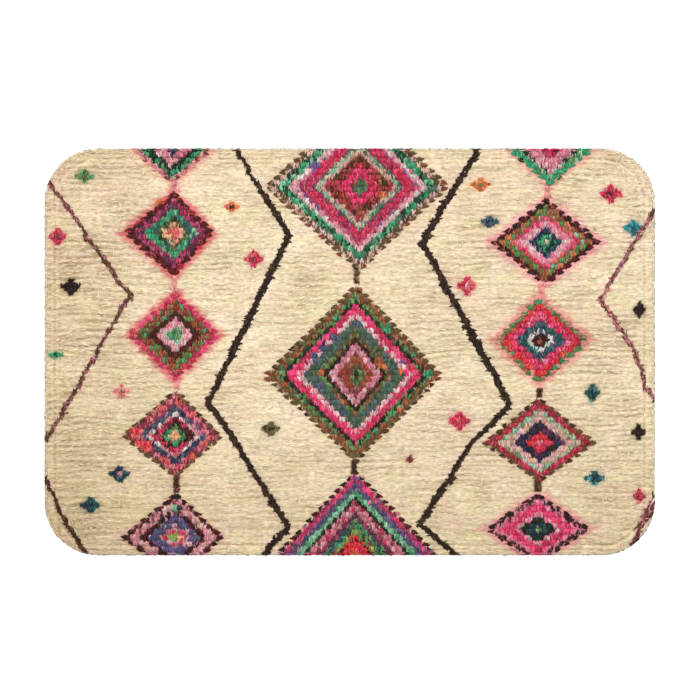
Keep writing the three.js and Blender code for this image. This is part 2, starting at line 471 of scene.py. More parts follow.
def woolColour(x, y, yarn):
    # light value of the wool at each place, with the run dye and the ground's slow shading
    settings, halo = groundSettings, haloSettings
    pinkish, golden = noiseSum(x, y, settings["pinkish"]), noiseSum(x, y, settings["golden"])
    redPull, greenPull = settings["pinkPull"]
    pull = np.stack([1 + redPull * pinkish, 1 + greenPull * pinkish, 1 + pinkish - golden], axis=1)
    fringe = halo["lineStrength"] * (1 - smoothStep(lineReach(x, y), *halo["lineFade"]))
    ground = blend(yarnLight[yarn] * pull, asLight(halo["lineColour"]), fringe)
    ground = haloColour(x, y, ground)
    shade, share = groundShade(x, y), settings["dyedShare"]
    shade = np.where(yarn == 0, shade, (1 - share) + share * shade)
    return np.where((yarn == 0)[:, None], ground, yarnLight[yarn]) * toned(shade, settings["warmth"])


# Wool: every tuft is a small closed strand, three-sided, lying on the face
strandStations = [-0.5, -0.38, 0.0, 0.38, 0.5]
strandGirth = [0.0, 0.78, 1.0, 0.78, 0.0]
strandSection = [(-0.5, -0.32), (0.0, 0.68), (0.5, -0.32)]


def strandFaces():
    # the corner numbers of one strand's faces: two fans and the bands between
    bands = len(strandStations) - 3
    faces = [(0, 2, 1), (0, 3, 2), (0, 1, 3)]
    for band in range(bands):
        low, high = 1 + band * 3, 4 + band * 3
        for side in range(3):
            following = (side + 1) % 3
            faces.append((low + side, low + following, high + following, high + side))
    last = 1 + (bands + 1) * 3
    return faces + [(last, last - 3, last - 2), (last, last - 2, last - 1), (last, last - 1, last - 3)]


def strandCorners(strands):
    corners = []
    turnX, turnY = np.cos(strands["angle"]), np.sin(strands["angle"])
    for station, girth in zip(strandStations, strandGirth):
        for side, height in ([(0.0, 0.0)] if girth == 0 else strandSection):
            along = strands["length"] * station
            across = strands["width"] * girth * side + strands["bend"] * (4 * station * station - 0.5)
            rise = strands["height"] * girth * height + strands["arch"] * (1 - 4 * station * station)
            corners.append(np.stack([
                strands["x"] + along * turnX - across * turnY,
                strands["y"] + along * turnY + across * turnX,
                strands["z"] + rise + strands["tilt"] * station], axis=1))
    return np.stack(corners, axis=1)


def addObject(name, data):
    made = bpy.data.objects.new(name, data)
    bpy.context.scene.collection.objects.link(made)
    return made


def paintMesh(mesh, colours):
    # the wool's light value at each vertex, which the materials read
    tint = np.ones((len(mesh.vertices), 4), np.float32)
    tint[:, :3] = colours
    layer = mesh.color_attributes.new("yarn", "FLOAT_COLOR", "POINT")
    layer.data.foreach_set("color", tint.ravel())


def strandPiece(name, strands, material, onGround=False):
    # one joined mesh of strands; on the ground each corner takes the cream's colour at its place
    count = len(strands["x"])
    corners = strandCorners(strands)
    perStrand = corners.shape[1]
    faces = strandFaces()
    template = np.concatenate([np.array(face) for face in faces])
    loops = (template[None, :] + np.arange(count)[:, None] * perStrand).ravel()
    totals = np.tile([len(face) for face in faces], count)
    starts = np.concatenate([[0], np.cumsum(totals)[:-1]])

    mesh = bpy.data.meshes.new(name)
    mesh.vertices.add(count * perStrand)
    mesh.vertices.foreach_set("co", (corners * millimetre).astype(np.float32).ravel())
    mesh.loops.add(len(loops))
    mesh.loops.foreach_set("vertex_index", loops.astype(np.int32))
    mesh.polygons.add(len(totals))
    mesh.polygons.foreach_set("loop_start", starts.astype(np.int32))
    mesh.polygons.foreach_set("use_smooth", np.ones(len(totals), bool))
    mesh.update(calc_edges=True)
    mesh.validate()
    colours = np.repeat(strands["colour"].astype(np.float32), perStrand, axis=0)
    if onGround:
        x, y = corners[:, :, 0].ravel(), corners[:, :, 1].ravel()
        colours *= woolColour(x, y, np.zeros(len(x), int))
    paintMesh(mesh, colours)
    mesh.materials.append(material)
    return addObject(name, mesh)


def newStrands(x, y):
    keys = ("z", "angle", "length", "width", "height", "bend", "arch", "tilt")
    return {"x": x, "y": y, **{key: np.zeros(len(x)) for key in keys}}


def drawShapes(strands, draw, settings, keys=("length", "width", "height", "bend", "arch", "tilt")):
    # sizes and curves from the settings: a pair is a range, and one number is a spread about 0
    count = len(strands["x"])
    for key in keys:
        setting = settings[key]
        isRange = isinstance(setting, tuple)
        strands[key] = draw.uniform(*setting, count) if isRange else draw.normal(0, setting, count)


def laidOn(strands, draw, settings):
    # heights of strands that lie on the face, a little sunk into it and uneven
    uneven = draw.normal(0, settings["lift"], len(strands["x"]))
    return faceHeight(insetOf(strands["x"], strands["y"])) - settings["sunk"] + uneven


def joinStrands(*groups):
    return {key: np.concatenate([group[key] for group in groups]) for key in groups[0]}


def chooseStrands(strands, kept):
    return {key: values[kept] for key, values in strands.items()}


def placesAlong(strands, stations):
    # points on the strands, at shares of their length from the middle
    for station in stations:
        reach, angle = strands["length"] * station, strands["angle"]
        yield strands["x"] + reach * np.cos(angle), strands["y"] + reach * np.sin(angle)


def withinRim(strands):
    # true for strands that lie wholly on the mat, ends included
    inside = insetOf(strands["x"], strands["y"]) > knotSettings["edge"]
    for endX, endY in placesAlong(strands, (-0.5, 0.5)):
        inside &= insetOf(endX, endY) > 0.5
    return inside


def fillSockets(tree, node, inputs):
    # a socket takes a link from another node's output, or a value
    for label, value in inputs.items():
        if isinstance(value, bpy.types.NodeSocket):
            tree.links.new(value, node.inputs[label])
        else:
            node.inputs[label].default_value = value


def addNode(tree, kind, inputs, **options):
    node = tree.nodes.new("ShaderNode" + kind)
    for option, value in options.items():
        setattr(node, option, value)
    fillSockets(tree, node, inputs)
    return node


def newGroup(name, inputs, outputs):
    group = bpy.data.node_groups.new(name, "ShaderNodeTree")
    for label, kind, value in inputs:
        socket = group.interface.new_socket(label, in_out="INPUT", socket_type=kind)
        socket.default_value = value
    for label, kind in outputs:
        group.interface.new_socket(label, in_out="OUTPUT", socket_type=kind)
    return group, group.nodes.new("NodeGroupInput"), group.nodes.new("NodeGroupOutput")


def newMaterial(name, inputs):
    material = bpy.data.materials.new(name)
    material.use_nodes = True
    shader = material.node_tree.nodes["Principled BSDF"]
    fillSockets(material.node_tree, shader, inputs)
    return material, material.node_tree, shader


# the grain of fine wool: how each noise is drawn out, and where fibres stand and don't lie
grainSettings = {
    "lying": (0.36, 1.0, 0.7),
    "standing": (1.0, 0.5, 0.7),
    "patchScale": 38.0,
    "patchEdge": (0.56, 0.78),
    "range": (0.3, 0.7),
}


def fibreNoise(group, place, fineness, stretch):
    # noise drawn out along one way, for fibres that lie together
    drawn = addNode(group, "VectorMath", {0: place, 1: stretch}, operation="MULTIPLY")
    noise = addNode(group, "TexNoise", {
        "Vector": drawn.outputs["Vector"], "Scale": fineness, "Detail": 3.0, "Roughness": 0.6})
    return noise.outputs["Fac"]


def buildWoolGrain():
    # lying fibres, and patches where they stand; shades the colour and raises the surface
    settings = grainSettings
    group, entry, leave = newGroup("woolGrain", [
        ("Colour", "NodeSocketColor", (0.8, 0.7, 0.5, 1)),
        ("Place", "NodeSocketVector", (0, 0, 0)),
        ("Fineness", "NodeSocketFloat", 600.0),
        ("Contrast", "NodeSocketFloat", 0.2),
    ], [("Colour", "NodeSocketColor"), ("Height", "NodeSocketFloat")])
    place, fineness = entry.outputs["Place"], entry.outputs["Fineness"]
    patch = addNode(group, "TexNoise", {"Vector": place, "Scale": settings["patchScale"]})
    low, high = settings["patchEdge"]
    sharpened = addNode(group, "MapRange", {
        "Value": patch.outputs["Fac"], "From Min": low, "From Max": high}, interpolation_type="SMOOTHSTEP")
    fibres = addNode(group, "Mix", {
        "Factor": sharpened.outputs["Result"],
        "A": fibreNoise(group, place, fineness, settings["lying"]),
        "B": fibreNoise(group, place, fineness, settings["standing"])}).outputs["Result"]
    low, high = settings["range"]
    spread = addNode(group, "MapRange", {
        "Value": fibres, "From Min": low, "From Max": high, "To Min": -1.0, "To Max": 1.0})
    gain = addNode(group, "Math", {
        0: spread.outputs["Result"], 1: entry.outputs["Contrast"], 2: 1.0}, operation="MULTIPLY_ADD")
    shade = addNode(group, "VectorMath", {}, operation="SCALE")
    fillSockets(group, shade, {0: entry.outputs["Colour"], "Scale": gain.outputs["Value"]})
    fillSockets(group, leave, {"Colour": shade.outputs["Vector"], "Height": fibres})
    return group


woolGrain = buildWoolGrain()


def woolMaterial(name, fineness, contrast, bump, roughness):
    material, tree, shader = newMaterial(name, {
        "Roughness": roughness, "Specular IOR Level": 0.12, "Subsurface Weight": 0.5,
        "Subsurface Radius": (1.0, 0.9, 0.7), "Subsurface Scale": 0.0012})
    colour = addNode(tree, "Attribute", {}, attribute_name="yarn")
    place = addNode(tree, "TexCoord", {})
    grain = addNode(tree, "Group", {}, node_tree=woolGrain)
    fillSockets(tree, grain, {
        "Fineness": fineness, "Contrast": contrast,
        "Colour": colour.outputs["Color"], "Place": place.outputs["Object"]})
    raised = addNode(tree, "Bump", {
        "Strength": bump, "Distance": 0.0006, "Height": grain.outputs["Height"]})
    fillSockets(tree, shader, {"Base Color": grain.outputs["Colour"], "Normal": raised.outputs["Normal"]})
    return material


def backMaterial():
    # plain canvas: threads over and under each other, uneven in tone
    material, tree, shader = newMaterial("clothBack", {"Roughness": 0.9})
    place = addNode(tree, "TexCoord", {}).outputs["Object"]
    threads = [addNode(tree, "TexWave", {
        "Vector": place, "Scale": 150, "Distortion": 0.6, "Detail": 1},
        bands_direction=direction).outputs["Fac"] for direction in "XY"]
    weave = addNode(tree, "Math", {0: threads[0], 1: threads[1]}, operation="MAXIMUM")
    mottle = addNode(tree, "TexNoise", {"Vector": place, "Scale": 260, "Detail": 3})
    tone = addNode(tree, "Math", {
        0: mottle.outputs["Fac"], 1: 0.55, 2: weave.outputs[0]}, operation="MULTIPLY_ADD").outputs[0]
    ramp = addNode(tree, "ValToRGB", {"Fac": tone})
    for element, position, colour in zip(ramp.color_ramp.elements, (0.35, 0.961538), (
            (0.33, 0.27, 0.19, 1), (0.62, 0.54, 0.41, 1))):
        element.position, element.color = position, colour
    bump = addNode(tree, "Bump", {"Distance": 0.0004, "Height": tone})
    fillSockets(tree, shader, {"Base Color": ramp.outputs["Color"], "Normal": bump.outputs["Normal"]})
    return material


# The cloth: its face carries the soft cream wool, and the dyed knots stand on it
clothSettings = {
    "rimInset": 0.7,  # the cloth stops short of the outline, and the hem's strands reach it
    "sunk": 0.55,  # the cream face under the full height
    "dyedSunk": 0.45,  # further down under the dyed knots
    # painted shade: the cloth under the dyed knots is darker, as shade in the gaps between strands
    "underKnotShade": 0.85,
    "cell": (2.6, 1.3),  # spacing of the face's points along and across
    "cornerSteps": 18,
    "rollSteps": 6,
    "hemInsets": (6.3, 1.3),  # first inset and spacing of the outlines on the hem
    "faceInsets": (15.0, 1.9),  # and of those on the face
    "channelSteps": 9,
    "channelRelief": 0.6,  # the stitching holds the wool's relief down
    "dyedWithin": 0.96,  # the cloth is dyed under the lozenges up to this share of their reach
    "lineWithin": 1.6,  # and under the lines from so far inside their edge
    "lineYarn": "bark",
    # painted shade in the crevices between the wool's bands
    "creviceShade": 0.42,
    "bandDepth": 0.80,
    # painted light and shade: the upper side of each band lighter, the lower side darker
    "bandPaintedLight": 0.04,
    "lumps": 0.42,
    "lumpNoise": [(0.8, 0.55, 1, 5.5, 82), (0.5, 0.8, 1, 2.6, 83)],
    "valueNoise": [(0.030, 0.5, 1, 3.0, 91), (0.025, 0.6, 1, 8.0, 92)],
    "warmth": (0.85, 1, 1.25),
    "uvSpan": 640,
}
# the wool lies in soft bands, which come and go in patches and show most towards the left
bandSettings = {
    "bands": [(7.2, 71), (5.1, 171)],  # pitch and seed
    "wander": [(2.2, 0.8, 1, 30), (1.5, 1, 0.7, 12)],
    "strength": 0.44,
    "left": (0.44, 130, 290),
    "right": (0.18, 80, 260),
    "slowPatches": (0.38, 1, 1.6, 42, 70),
    "patches": (0.62, 1, 2.4, 16),
    "limits": (0.03, 1.25),
    "middle": 0.75,  # about a band's mean height, so that bands don't raise the face
    "fullPitch": 6.5,  # a band of this pitch has its full height
    "creviceWidth": 1.6,
}


def bandStrength(x, y, seed):
    settings = bandSettings
    strength = settings["strength"] + noiseSum(x, y, [settings["slowPatches"], (*settings["patches"], seed)])
    for side, distance in (("left", -x), ("right", x)):
        amount, start, end = settings[side]
        strength = strength + amount * smoothStep(distance, start, end)
    return np.clip(strength, *settings["limits"])


def woolBands(x, y):
    # height of the lying bands, depth of the crevices between them, and the painted light and shade on them:
    # the upper side of each band lighter, the lower side darker
    settings = bandSettings
    slow, quick = settings["wander"]
    bulge, crevice, tone = 0, 0, 0
    for pitch, seed in settings["bands"]:
        phase = (y + noiseSum(x, y, [(*slow, seed), (*quick, seed + 1)])) / pitch
        strength = bandStrength(x, y, seed + 2)
        away = np.abs(phase - np.round(phase)) * pitch
        rise = np.sqrt(np.abs(np.sin(math.pi * phase))) - settings["middle"]
        bulge = bulge + rise * strength * pitch / settings["fullPitch"]
        crevice = np.maximum(crevice, np.exp(-(away / settings["creviceWidth"]) ** 2) * strength)
        tone = tone - np.sin(2 * math.pi * phase) * strength
    return bulge, crevice, tone


def woolRelief(x, y):
    # height of the lying wool about its middle
    bulge, _, _ = woolBands(x, y)
    lumps = noiseSum(x, y, clothSettings["lumpNoise"])
    return clothSettings["lumps"] * lumps + clothSettings["bandDepth"] * bulge


def rowPoints(low, high, cell):
    count = max(1, round((high - low) / cell))
    return np.linspace(low, high, count + 1)


def clothProfile():
    # inset, height and share of the wool's relief: from the underside round the roll and on to the face
    size, rim, drop = matSize, clothSettings["rimInset"], clothSettings["sunk"]
    steps = clothSettings["rollSteps"]
    profile = []
    for step in range(steps, -1, -1):
        turn = step / steps * math.pi / 2
        inset = rim + size["underReach"] * (1 - math.cos(turn))
        profile.append((inset, size["rollWidest"] * (1 - math.sin(turn)), 0))
    for step in range(1, steps + 1):
        turn = step / steps * math.pi / 2
        inset = rim + size["rollReach"] * (1 - math.cos(turn))
        rise = (size["hemHeight"] - drop - size["rollWidest"]) * math.sin(turn)
        profile.append((inset, size["rollWidest"] + rise, (step / steps) ** 2))
    half = size["channelWidth"] / 2
    channelStart, channelEnd = size["channelInset"] - half, size["channelInset"] + half
    (hemFirst, hemStep), (faceFirst, faceStep) = clothSettings["hemInsets"], clothSettings["faceInsets"]
    relief, channelSteps = clothSettings["channelRelief"], clothSettings["channelSteps"]
    insets = [(inset, 1) for inset in np.arange(hemFirst, channelStart - 0.5, hemStep)]
    insets += [(inset, relief) for inset in np.linspace(channelStart, channelEnd, channelSteps)]
    insets += [(inset, 1) for inset in np.arange(faceFirst, size["cornerRadius"] - 1, faceStep)]
    return profile + [(inset, float(faceHeight(inset)) - drop, share) for inset, share in insets]


def clothShape():
    # the places, heights, relief shares and faces of the closed cloth
    radius, steps = matSize["cornerRadius"], clothSettings["cornerSteps"]
    coreX, coreY = matSize["length"] / 2 - radius, matSize["width"] / 2 - radius
    xs = rowPoints(-coreX, coreX, clothSettings["cell"][0])
    ys = rowPoints(-coreY, coreY, clothSettings["cell"][1])
    turns = np.arange(1, steps) / steps * math.pi / 2

    def ring(inset):
        # one outline drawn in, clockwise from the top left; its second half is the first, turned half round
        reach = radius - inset
        points = [(x, coreY + reach) for x in xs]
        points += [(coreX + reach * math.sin(t), coreY + reach * math.cos(t)) for t in turns]
        points += [(coreX + reach, y) for y in ys[::-1]]
        points += [(coreX + reach * math.cos(t), -coreY - reach * math.sin(t)) for t in turns]
        return points + [(-x, -y) for x, y in points]

    profile = clothProfile()
    levels, ringSize = len(profile), len(ring(0))
    rings = np.arange(levels * ringSize).reshape(levels, ringSize)
    after = np.roll(rings, -1, axis=1)
    faces = np.stack([rings[:-1], rings[1:], after[1:], after[:-1]], axis=-1).reshape(-1, 4).tolist()
    faces.append(list(range(ringSize)))  # the underside, flat

    # the middle of the face is a grid, whose border is joined to the last ring
    grid = rings.size + np.arange(len(ys) * len(xs)).reshape(len(ys), len(xs))
    squares = np.stack([grid[:-1, :-1], grid[:-1, 1:], grid[1:, 1:], grid[1:, :-1]], axis=-1)
    faces += squares.reshape(-1, 4).tolist()
    border = []
    for side in (grid[-1], grid[::-1, -1], grid[0, ::-1], grid[:, 0]):
        border += side.tolist() + [int(side[-1])] * (steps - 1)
    for place in range(ringSize):
        following = (place + 1) % ringSize
        outer, outerAfter = int(rings[-1, place]), int(rings[-1, following])
        corners = list(dict.fromkeys([outer, border[place], border[following], outerAfter]))
        if len(corners) > 2:
            faces.append(corners)

    places = [point for inset, _, _ in profile for point in ring(inset)] + [(x, y) for y in ys for x in xs]
    _, heights, shares = (np.repeat(column, ringSize) for column in zip(*profile))
    faceLevel = matSize["thickness"] - clothSettings["sunk"]
    heights = np.append(heights, np.full(grid.size, faceLevel))
    return np.array(places), heights, np.append(shares, np.ones(grid.size)), faces


def clothBody():
    settings = clothSettings
    places, heights, shares, faces = clothShape()
    x, y = places[:, 0], places[:, 1]
    yarn = patternYarns(x, y, np.full(len(x), 0.5), within=settings["dyedWithin"])
    yarn = np.where(lineReach(x, y) < -settings["lineWithin"], yarnNames.index(settings["lineYarn"]), yarn)
    dyed = yarn > 0
    z = heights + shares * np.where(dyed, -settings["dyedSunk"], woolRelief(x, y))
    _, crevice, tone = woolBands(x, y)
    # painted shade in the band crevices, and painted light on the bands' upper sides
    value = 1 - settings["creviceShade"] * crevice * shares + settings["bandPaintedLight"] * tone * shares
    # painted shade under the dyed knots
    value = np.where(dyed, settings["underKnotShade"], value + noiseSum(x, y, settings["valueNoise"]))

    mesh = bpy.data.meshes.new("matCloth")
    mesh.from_pydata((np.column_stack([x, y, z]) * millimetre).tolist(), [], faces)
    mesh.update()
    mesh.validate()
    colour = woolColour(x, y, yarn) * toned(value, settings["warmth"])
    paintMesh(mesh, np.clip(colour, leastLight, 1))
    corner = np.zeros(len(mesh.loops), np.int32)
    mesh.loops.foreach_get("vertex_index", corner)
    flat = places[corner] / settings["uvSpan"] + 0.5
    mesh.uv_layers.new(name="OFBake").data.foreach_set("uv", flat.astype(np.float32).ravel())
    for polygon in mesh.polygons:
        polygon.use_smooth = len(polygon.vertices) < 5
        if polygon.normal.z < -0.9:  # the underside
            polygon.material_index = 1
    return addObject("matCloth", mesh)


creamWool = woolMaterial("creamWool", 560.0, 0.27, 0.5, 0.94)
dyedWool = woolMaterial("dyedWool", 800.0, 0.20, 0.30, 0.90)
matCloth = clothBody()
matCloth.data.materials.append(creamWool)
matCloth.data.materials.append(backMaterial())
print("cloth body:", len(matCloth.data.polygons), "faces")

# Knots stand in rows; each is a little bunch of strands that fans out from its middle
knotSettings = {
    "row": 5.8,
    "pitch": 3.3,
    "edge": 1.7,  # the rim's own strands take over here
    "sunk": 0.75,  # a strand's middle under the face's height
    "bunch": [(-0.8, 1.1), (0.8, 1.1), (-0.8, -1.1), (0.8, -1.1), (0.0, 0.0)],  # from the knot's middle
    "jitter": (0.25, 0.48),  # how unevenly strands sit across and along
    "lift": 0.15,  # and in height
    "fan": 0.14,  # how far the outer strands turn outwards
    "sweep": 0.22,  # how far whole patches turn together
    "turn": 0.34,  # how far single strands turn
    "length": (3.2, 5.4),
    "width": (1.4, 2.1),
    "height": (1.2, 1.6),
    "bend": 0.4,
    "arch": (0.1, 0.4),
    "tilt": 0.4,
    "crown": 0.25,  # the middle strand stands this much higher
    "value": 0.12,  # how much strands differ
    "knotValue": 0.14,  # how much whole knots differ
    "crownPaintedLight": 0.08,  # painted light: the middle strand is this much lighter
    "topPaintedLight": 0.07,  # painted light and shade: the upper ones lighter, the lower ones darker
    "gain": 1.09,
    "byRow": 0.30,  # how far a row's own line decides where a ring starts, and not the strand
    "glint": 0.045,  # painted highlight mixed into a strand
    "strongHighlights": 0.10,  # share of the strands with a much stronger painted highlight
    "brightGlint": (0.08, 0.26),
    "together": 0.88,  # how often a strand takes its knot's yarn and not its own
}


def rowWander(x, y, seed):
    height, cell = 0.9, 38
    return height * softNoise(x, y, cell, seed + 1)


def knotGrid(row, pitch, seed):
    # rows that wander a little, with knots that sit unevenly along them
    draw = np.random.default_rng(seed)
    rows = np.arange(-matSize["width"] / 2, matSize["width"] / 2 + row, row)
    perRow = int(matSize["length"] / pitch) + 2
    x = -matSize["length"] / 2 + (np.arange(perRow)[None, :] + draw.random((len(rows), 1))) * pitch
    y = np.repeat(rows[:, None], perRow, axis=1)
    x = x + draw.normal(0, pitch * 0.10, x.shape)
    y = y + rowWander(x, y, seed) + draw.normal(0, row * 0.05, y.shape)
    return x.ravel(), y.ravel()


def evenDice(values):
    # ranks spread evenly from 0 to 1
    return (np.argsort(np.argsort(values)) + 0.5) / len(values)


def dyeStrands(strands, yarn, value, glint):
    # each strand takes its yarn's colour as it looks at its place, with a painted highlight mixed in, weaker
    # on dark yarns
    colour = woolColour(strands["x"], strands["y"], yarn) * np.clip(value, 0.4, 2)[:, None]
    share = np.abs(glint) * np.clip(colour.mean(axis=1) * 5, 0.15, 1)
    strands["colour"] = np.clip(blend(colour, asLight(paintedHighlight), share), leastLight, 1)


def dyedStrands():
    settings = knotSettings
    draw = np.random.default_rng(22)
    knotX, knotY = knotGrid(settings["row"], settings["pitch"], 21)
    count = len(knotX)
    knotDice = evenDice(softNoise(knotX, knotY, 10.0, 24) + draw.normal(0, 0.30, count))
    knotValue = draw.normal(0, settings["knotValue"], count)
    sweep = settings["sweep"] * softNoise(knotX, knotY, 15, 25)
    jitterX, jitterY = settings["jitter"]
    groups = []
    for offsetX, offsetY in settings["bunch"]:
        middle = offsetX == 0
        x = knotX + offsetX + draw.normal(0, jitterX, count)
        y = knotY + offsetY + draw.normal(0, jitterY, count)
        strands = newStrands(x, y)
        own = draw.random(count) > settings["together"]
        dice = np.where(own, draw.random(count), knotDice)
        yarn, small = np.zeros(count, int), np.zeros(count, int)
        lozengeYarns(x, knotY * settings["byRow"] + y * (1 - settings["byRow"]), dice, yarn)
        crossYarns(x, y, dice, small)
        linkYarns(x, y, dice, small)
        yarn = np.where(yarn > 0, yarn, small)
        strands["z"] = laidOn(strands, draw, settings) + (settings["crown"] if middle else 0)
        fan = math.pi / 2 - settings["fan"] * offsetX * offsetY
        strands["angle"] = fan + sweep + draw.normal(0, settings["turn"], count)
        drawShapes(strands, draw, settings)
        # painted light and shade: the middle and upper strands lighter, the lower ones darker
        paintedLight = settings["crownPaintedLight"] if middle else settings["topPaintedLight"] * offsetY - 0.02
        value = settings["gain"] * (1 + paintedLight + knotValue + draw.normal(0, settings["value"], count))
        # painted highlights: a few strands get a much stronger one
        bright = draw.random(count) < settings["strongHighlights"]
        brightGlint = draw.uniform(*settings["brightGlint"], count)
        glint = np.where(bright, brightGlint, draw.normal(0, settings["glint"], count))
        dyeStrands(strands, yarn, value, glint)
        groups.append(chooseStrands(strands, (yarn > 0) & withinRim(strands)))
    return joinStrands(*groups)


# teeth: each row of knots ends in a little flame that points out of the lozenge
toothSettings = {
    "out": -0.4,  # how far a tooth's middle lies outside the outline
    "slant": 0.7,  # how far whole teeth differ in that
    "jitter": (0.3, 0.2),
    "lift": 0.1,
    "turn": 0.12,
    "length": (4.2, 6.8),
    "width": (1.9, 2.8),
    "height": (1.2, 1.6),
    "bend": 0.3,
    "arch": (0.1, 0.3),
    "sunk": 0.45,
    "ranks": (-1, 0, 1, 0),  # strands of a tooth, under and over its middle
    "rise": 1.16,  # how far the ranks lie apart
    "back": 0.9,  # and how far the outer ones stay behind
    "lean": 0.22,
    "value": 0.14,
    "gain": 0.88,
    "glint": 0.03,
    "mixed": 0.1,  # how far the strands of a tooth differ in yarn
}


def toothStrands():
    settings = toothSettings
    shape = ("length", "width", "height", "bend", "arch")
    jitterX, jitterY = settings["jitter"]
    draw = np.random.default_rng(62)
    groups = []
    for lozenge in lozenges:
        left, right, up, down = lozenge["reach"]
        middleX, middleY = lozenge["at"]
        rows = np.arange(-matSize["width"] / 2, matSize["width"] / 2, knotSettings["row"])
        rows = rows[(rows < middleY + up - 1) & (rows > middleY - down + 1)]
        count = len(rows)
        along = np.where(rows > middleY, (rows - middleY) / up, (middleY - rows) / down)
        for side, reach in ((-1, left), (1, right)):
            dice, slant = draw.random(count), draw.normal(0, settings["slant"], count)
            for rank in settings["ranks"]:
                out = settings["out"] + slant + draw.normal(0, jitterX, count) - settings["back"] * abs(rank)
                x = middleX + side * (reach * (1 - along) + out)
                y = rows + rowWander(x, rows, 21) + rank * settings["rise"] + draw.normal(0, jitterY, count)
                strands = newStrands(x, y)
                strands["z"] = laidOn(strands, draw, settings)
                lean = side * settings["lean"] * (np.where(rows > middleY, -1, 1) - rank)
                strands["angle"] = lean + draw.normal(0, settings["turn"], count)
                drawShapes(strands, draw, settings, shape)
                own = dice + draw.normal(0, settings["mixed"], count)
                yarn = drawYarns(lozenge["teeth"], np.clip(own, 0, 0.99))
                value = settings["gain"] * (1 + draw.normal(0, settings["value"], count))
                dyeStrands(strands, yarn, value, draw.normal(0, settings["glint"], count))
                groups.append(chooseStrands(strands, withinRim(strands)))
    return joinStrands(*groups)


# the stepped lines: one bunch of strands for each row, pointed at both sides
lineSettings = {
    "row": 5.8,
    "sunk": 0.55,
    "lift": 0.15,
    "wander": 0.95,
    "jitter": (0.45, 0.8),
    "halfShare": (0.55, 1.25),  # how the line swells and thins from row to row
    "lengthShare": (0.85, 1.15),
    "width": (1.7, 2.5),
    "height": (1.2, 1.7),
    "bend": 0.4,
    "arch": (0.1, 0.4),
    "turn": (0.35, 0.34),  # of the level strands, and of the others
    "levelLength": (1.9, 1.7),  # a level strand's length for each half width, and on top of that
    "long": 7,  # strands from this length follow the line, and others stand steeper
    "steeper": 0.7,
    "fullHalf": 2.2,  # strands have their full width where the line's half width is this
    "widthShare": (0.55, 1.2),
    "value": 0.20,
    "glint": 0.02,
    # each strand's share of the half width, its length (0 lies level) and how far under its row it sits
    "bunch": [
        (-0.75, 4.6, 0), (-0.35, 6.8, 0.8), (0.0, 9.0, 0), (0.35, 6.8, -0.8), (0.75, 4.6, 0), (0.0, 0.0, 0),
        (-0.2, 8.6, 2.9), (0.25, 8.6, 2.9), (-0.6, 4.4, 2.9), (0.6, 4.4, 2.9), (-0.5, 0.0, 1.6),
        (0.5, 0.0, -1.6)],
}


def lineStrands():
    settings = lineSettings
    draw = np.random.default_rng(42)
    jitterX, jitterY = settings["jitter"]
    probe = 3  # millimetres up and down the line, to find its lean
    groups = []
    for line in steppedLines:
        top, bottom = line["points"][0][1], line["points"][-1][1]
        rows = np.arange(top, bottom, -settings["row"])
        count = len(rows)
        middle = lineAt(line, rows) + draw.normal(0, settings["wander"], count)
        half = lineAt(line, rows, 2) * draw.uniform(*settings["halfShare"], count)
        lean = lineAt(line, rows + probe) - lineAt(line, rows - probe)
        for share, length, under in settings["bunch"]:
            level = length == 0
            x = middle + share * half - lean * under / (2 * probe) + draw.normal(0, jitterX, count)
            y = rows - under + draw.normal(0, jitterY, count)
            strands = newStrands(x, y)
            if level:
                forHalf, onTop = settings["levelLength"]
                strands["length"] = forHalf * half + onTop
                strands["angle"] = draw.normal(0, settings["turn"][0], count)
            else:
                strands["length"] = length * draw.uniform(*settings["lengthShare"], count)
                follow = 1.0 if length > settings["long"] else settings["steeper"]
                upright = np.arctan2(2 * probe, lean * follow)
                strands["angle"] = upright + draw.normal(0, settings["turn"][1], count)
            drawShapes(strands, draw, settings, ("width", "height"))
            strands["width"] *= np.clip(half / settings["fullHalf"], *settings["widthShare"])
            strands["z"] = laidOn(strands, draw, settings)
            drawShapes(strands, draw, settings, ("bend", "arch"))
            yarn = drawYarns(line["yarns"], draw.random(count))
            value = 1 + draw.normal(0, settings["value"], count)
            dyeStrands(strands, yarn, value, draw.normal(0, settings["glint"], count))
            covered = patternYarns(x, y, np.full(count, 0.5)) > 0
            groups.append(chooseStrands(strands, withinRim(strands) & ~covered))
    return joinStrands(*groups)


# cream strands scattered over the cloth's own wool
creamStrands = {
    "row": 4.0,
    "pitch": 5.8,
    "jitter": 1.5,
    "length": (4.0, 8.5),
    "width": (1.4, 2.5),
    "height": (0.7, 1.0),
    "bend": 0.5,
    "arch": (0.0, 0.25),
    "tilt": 0.25,
    "sunk": 0.65,  # as deep as the cloth's own face, and a little more
    "lift": 0.10,
    "relief": 0.7,  # how far the strands follow the wool's bands
    "turn": 0.20,
    "upright": 0.06,  # share of the strands that lie along the mat's width
    "uprightPatches": 0.15,  # and how many more do so in patches
    "value": 0.07,
}


def clearOfDye(strands):
    # true where neither the strand's middle nor its ends reach a dyed knot
    clear = np.ones(len(strands["x"]), bool)
    for x, y in placesAlong(strands, (-0.45, 0, 0.45)):
        clear &= patternYarns(x, y, np.full(len(x), 0.5), within=0.98) == 0
        clear &= lineReach(x, y) > 0.6
    return clear


